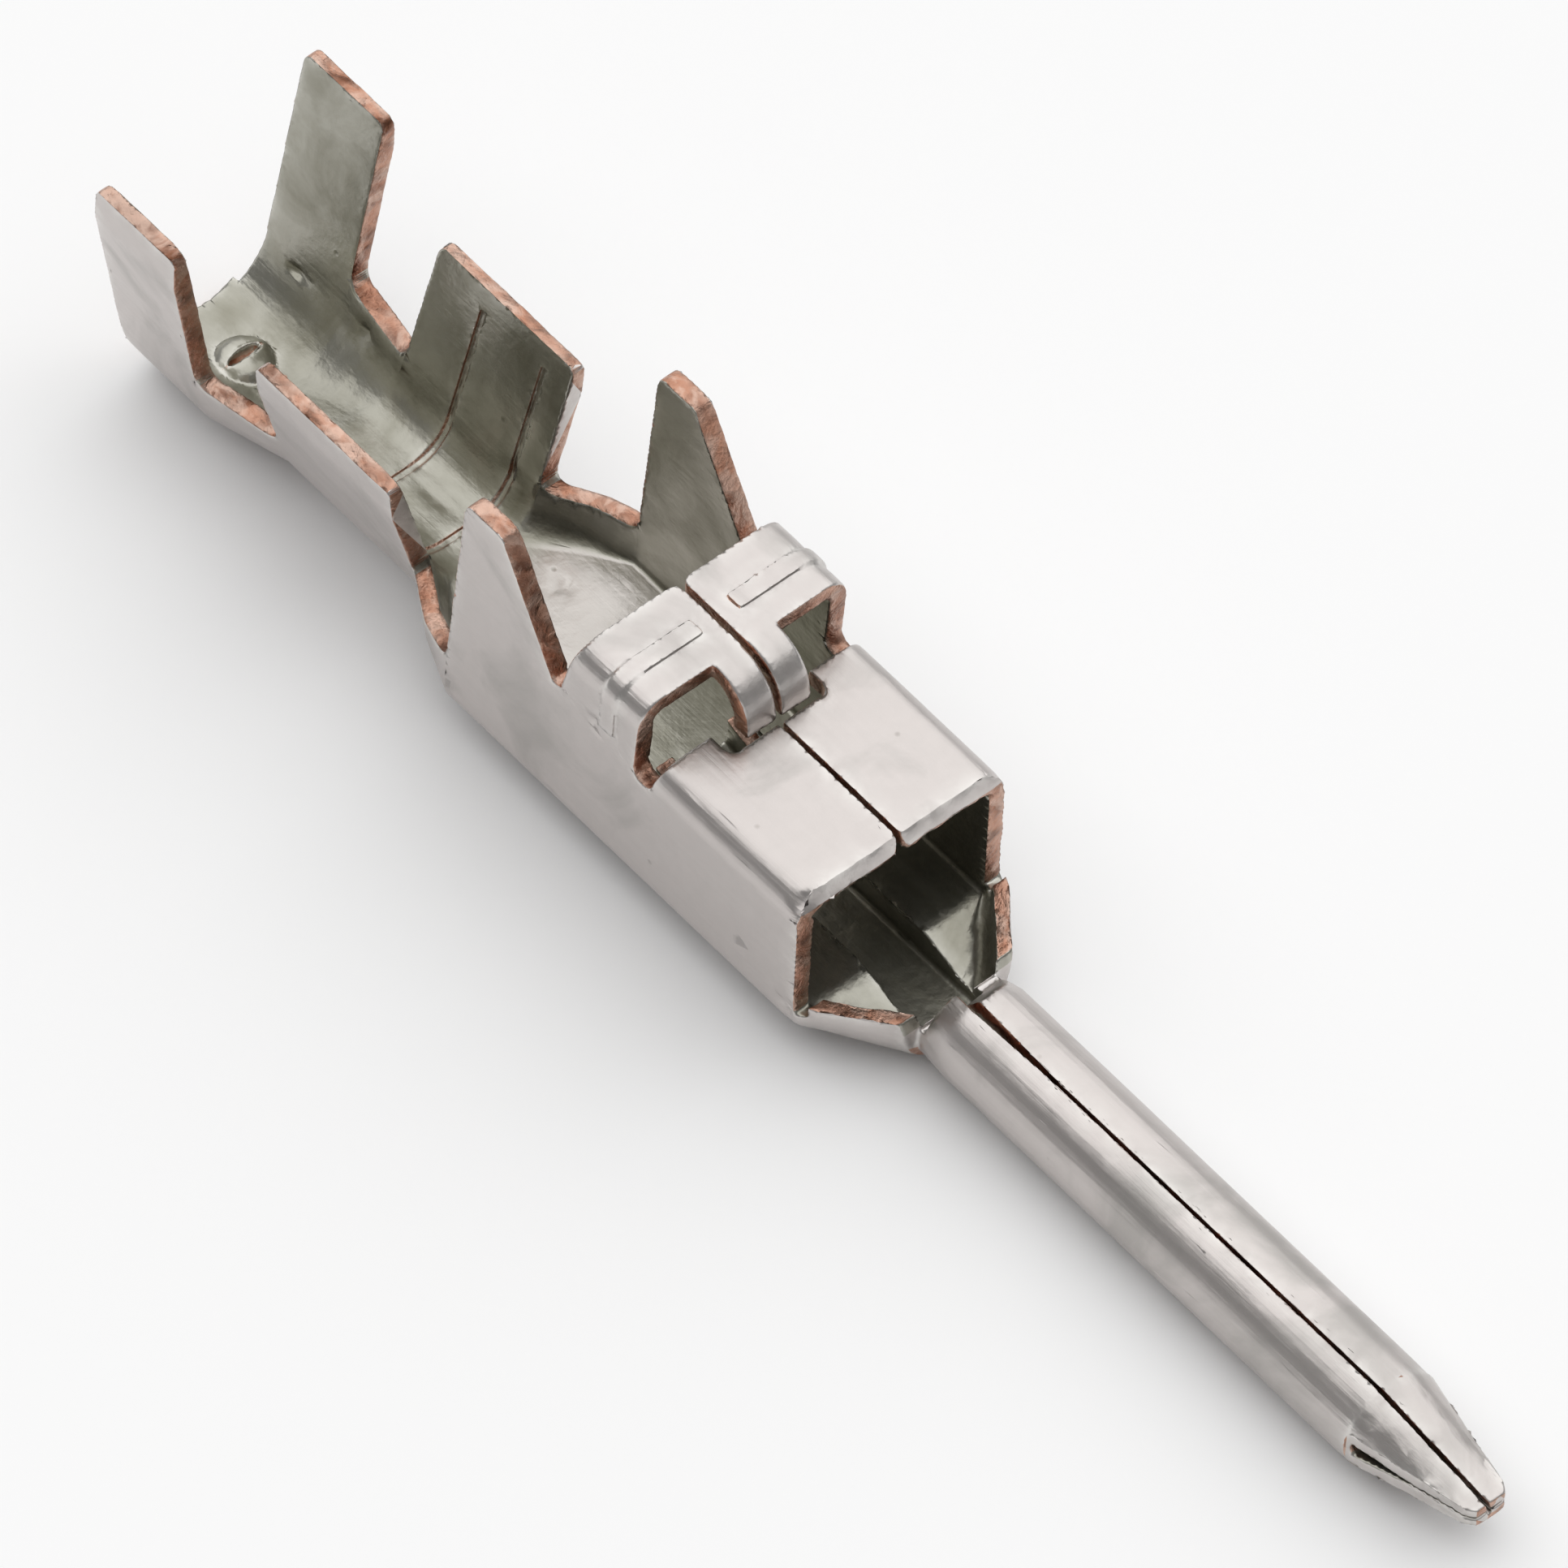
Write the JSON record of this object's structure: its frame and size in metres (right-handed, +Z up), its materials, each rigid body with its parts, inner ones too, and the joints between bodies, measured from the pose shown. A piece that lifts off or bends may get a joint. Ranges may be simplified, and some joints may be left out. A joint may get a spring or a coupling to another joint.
{
  "type": "crimp pin contact",
  "caption": "Male crimp contact folded from plated sheet: rolled tapered pin, square box body with latch covers and ears, open wire and insulation crimp barrels.",
  "frame": {"origin": "on the pin's axis, at the rear edge of the rolled pin", "axes": "+X along the contact towards the pin's tip, +Z up out of the box floor, towards the crimp openings, +Y across"},
  "size_m": [0.0169, 0.0024, 0.0033],
  "materials": {
    "tin_plate": "satin tin plate, bare copper-brown metal on the sheared edges"
  },
  "bodies": {
    "root": {"pin_contact": "tin_plate"}
  },
  "joints": []
}
